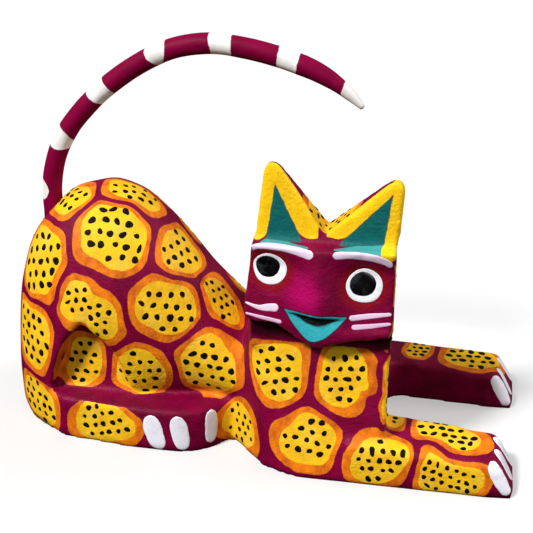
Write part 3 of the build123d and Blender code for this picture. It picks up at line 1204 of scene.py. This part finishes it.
CAMERA_TURN = math.radians(10.5)
CAMERA_TILT = math.radians(25.0)
CAMERA_TARGET = Vector((-2.64, 19.6, 45.0)) * MM
CAMERA_DISTANCE = 395.3 * MM
LENS = 79.56
SENSOR = 36.0
FLOOR_REACH = 12000.0
FLOOR_TONE = (0.45, 0.45, 0.45, 1.0)
FLOOR_TONE_DEEP = (0.44, 0.44, 0.44, 1.0)
FLOOR_GLOW = 0.85              # keeps the shadows on the floor light
SKY_LOW = 0.0
SKY_HIGH = 0.27
SURROUND = (0.85, 0.85, 0.85, 1.0)
# Suns: name, direction that the light comes from, strength, angle across
SUNS = [
    ("key", (-0.58, -0.72, 1.0), 4.2, 10),
    ("rim", (0.9, 0.2, 0.45), 1.6, 30),
    ("fill", (0.5, -1.0, 0.5), 0.5, 40),
]


def make_stage():
    """A wide, pale, flat floor."""
    corners = [(x * FLOOR_REACH, y * FLOOR_REACH, 0) for x, y in ((-1, -1), (1, -1), (1, 1), (-1, 1))]
    floor = new_piece("floor", corners, [(0, 1, 2, 3)])
    material, tree, shader = start_material("pale_floor", roughness=0.9, specular_ior_level=0.1)
    tone = mottled(tree, FLOOR_TONE, FLOOR_TONE_DEEP, 300.0)
    tree.links.new(tone, shader.inputs["Base Color"])
    tree.links.new(tone, shader.inputs["Emission Color"])
    shader.inputs["Emission Strength"].default_value = FLOOR_GLOW
    floor.data.materials.append(material)
    floor.visible_diffuse = False
    floor.visible_glossy = False


def aim(item, target):
    """Turns a light or the camera towards a place."""
    item.rotation_euler = (Vector(target) - item.location).to_track_quat("-Z", "Y").to_euler()


def add_sun(name, direction, strength, spread_degrees):
    """A distant light that comes from that direction."""
    light = bpy.data.lights.new(name, "SUN")
    light.energy = strength
    light.angle = math.radians(spread_degrees)
    item = new_object(name, light)
    item.location = Vector(direction)
    aim(item, (0, 0, 0))


def make_world():
    """Soft light from above that fades to dark below, with a pale surround behind the figure."""
    world = bpy.data.worlds.new("studio")
    world.use_nodes = True
    tree = world.node_tree
    background = tree.nodes["Background"]
    direction = add_node(tree, "ShaderNodeTexCoord")
    height = add_node(tree, "ShaderNodeSeparateXYZ", {"Vector": direction.outputs["Generated"]})
    glow = spread(tree, height.outputs["Z"], -0.3, 0.8, SKY_LOW, SKY_HIGH)
    seen = add_node(tree, "ShaderNodeLightPath").outputs["Is Camera Ray"]
    tree.links.new(mix(tree, seen, glow, SURROUND), background.inputs["Color"])
    bpy.context.scene.world = world


def light_scene():
    """Three suns and the studio world."""
    for name, direction, strength, angle in SUNS:
        add_sun(name, direction, strength, angle)
    make_world()
    bpy.context.scene.view_settings.view_transform = "Standard"


def place_camera():
    """The camera stands to the front, a little to the right and above."""
    camera = bpy.data.cameras.new("camera")
    camera.lens = LENS
    camera.sensor_width = SENSOR
    camera.clip_start = 0.01
    item = new_object("camera", camera)
    direction = Vector((
        math.sin(CAMERA_TURN) * math.cos(CAMERA_TILT), -math.cos(CAMERA_TURN) * math.cos(CAMERA_TILT),
        math.sin(CAMERA_TILT),
    ))
    item.location = CAMERA_TARGET + direction * CAMERA_DISTANCE
    aim(item, CAMERA_TARGET)
    bpy.context.scene.camera = item


# ---- the figure

body = make_body()
spots = make_spots()
paint(body.data, spots)
body.data.materials.clear()
body.data.materials.append(painted_wood())
surface = Surface(body.data)
dots = make_dots(spots, surface)
dots.data.materials.append(black_paint("black_dabs", (0.55, 0.75), 0.0, DOT_WORN, 1.5))
white = make_white_paint(surface)
white.data.materials.append(white_paint())
pupils = make_pupils(surface)
# The pupils' grey-blue patches are a painted reflection.
pupils.data.materials.append(black_paint("pupil_gloss", (0.18, 0.3), 0.6, PUPIL_REFLECTION, 4.0))
tail = make_tail()
tail.data.materials.append(tail_paint())

for piece in (body, dots, white, pupils):
    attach(piece, "body")
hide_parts("carved_body")
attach(tail, "tail")
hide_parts("tail")

make_stage()
light_scene()
place_camera()
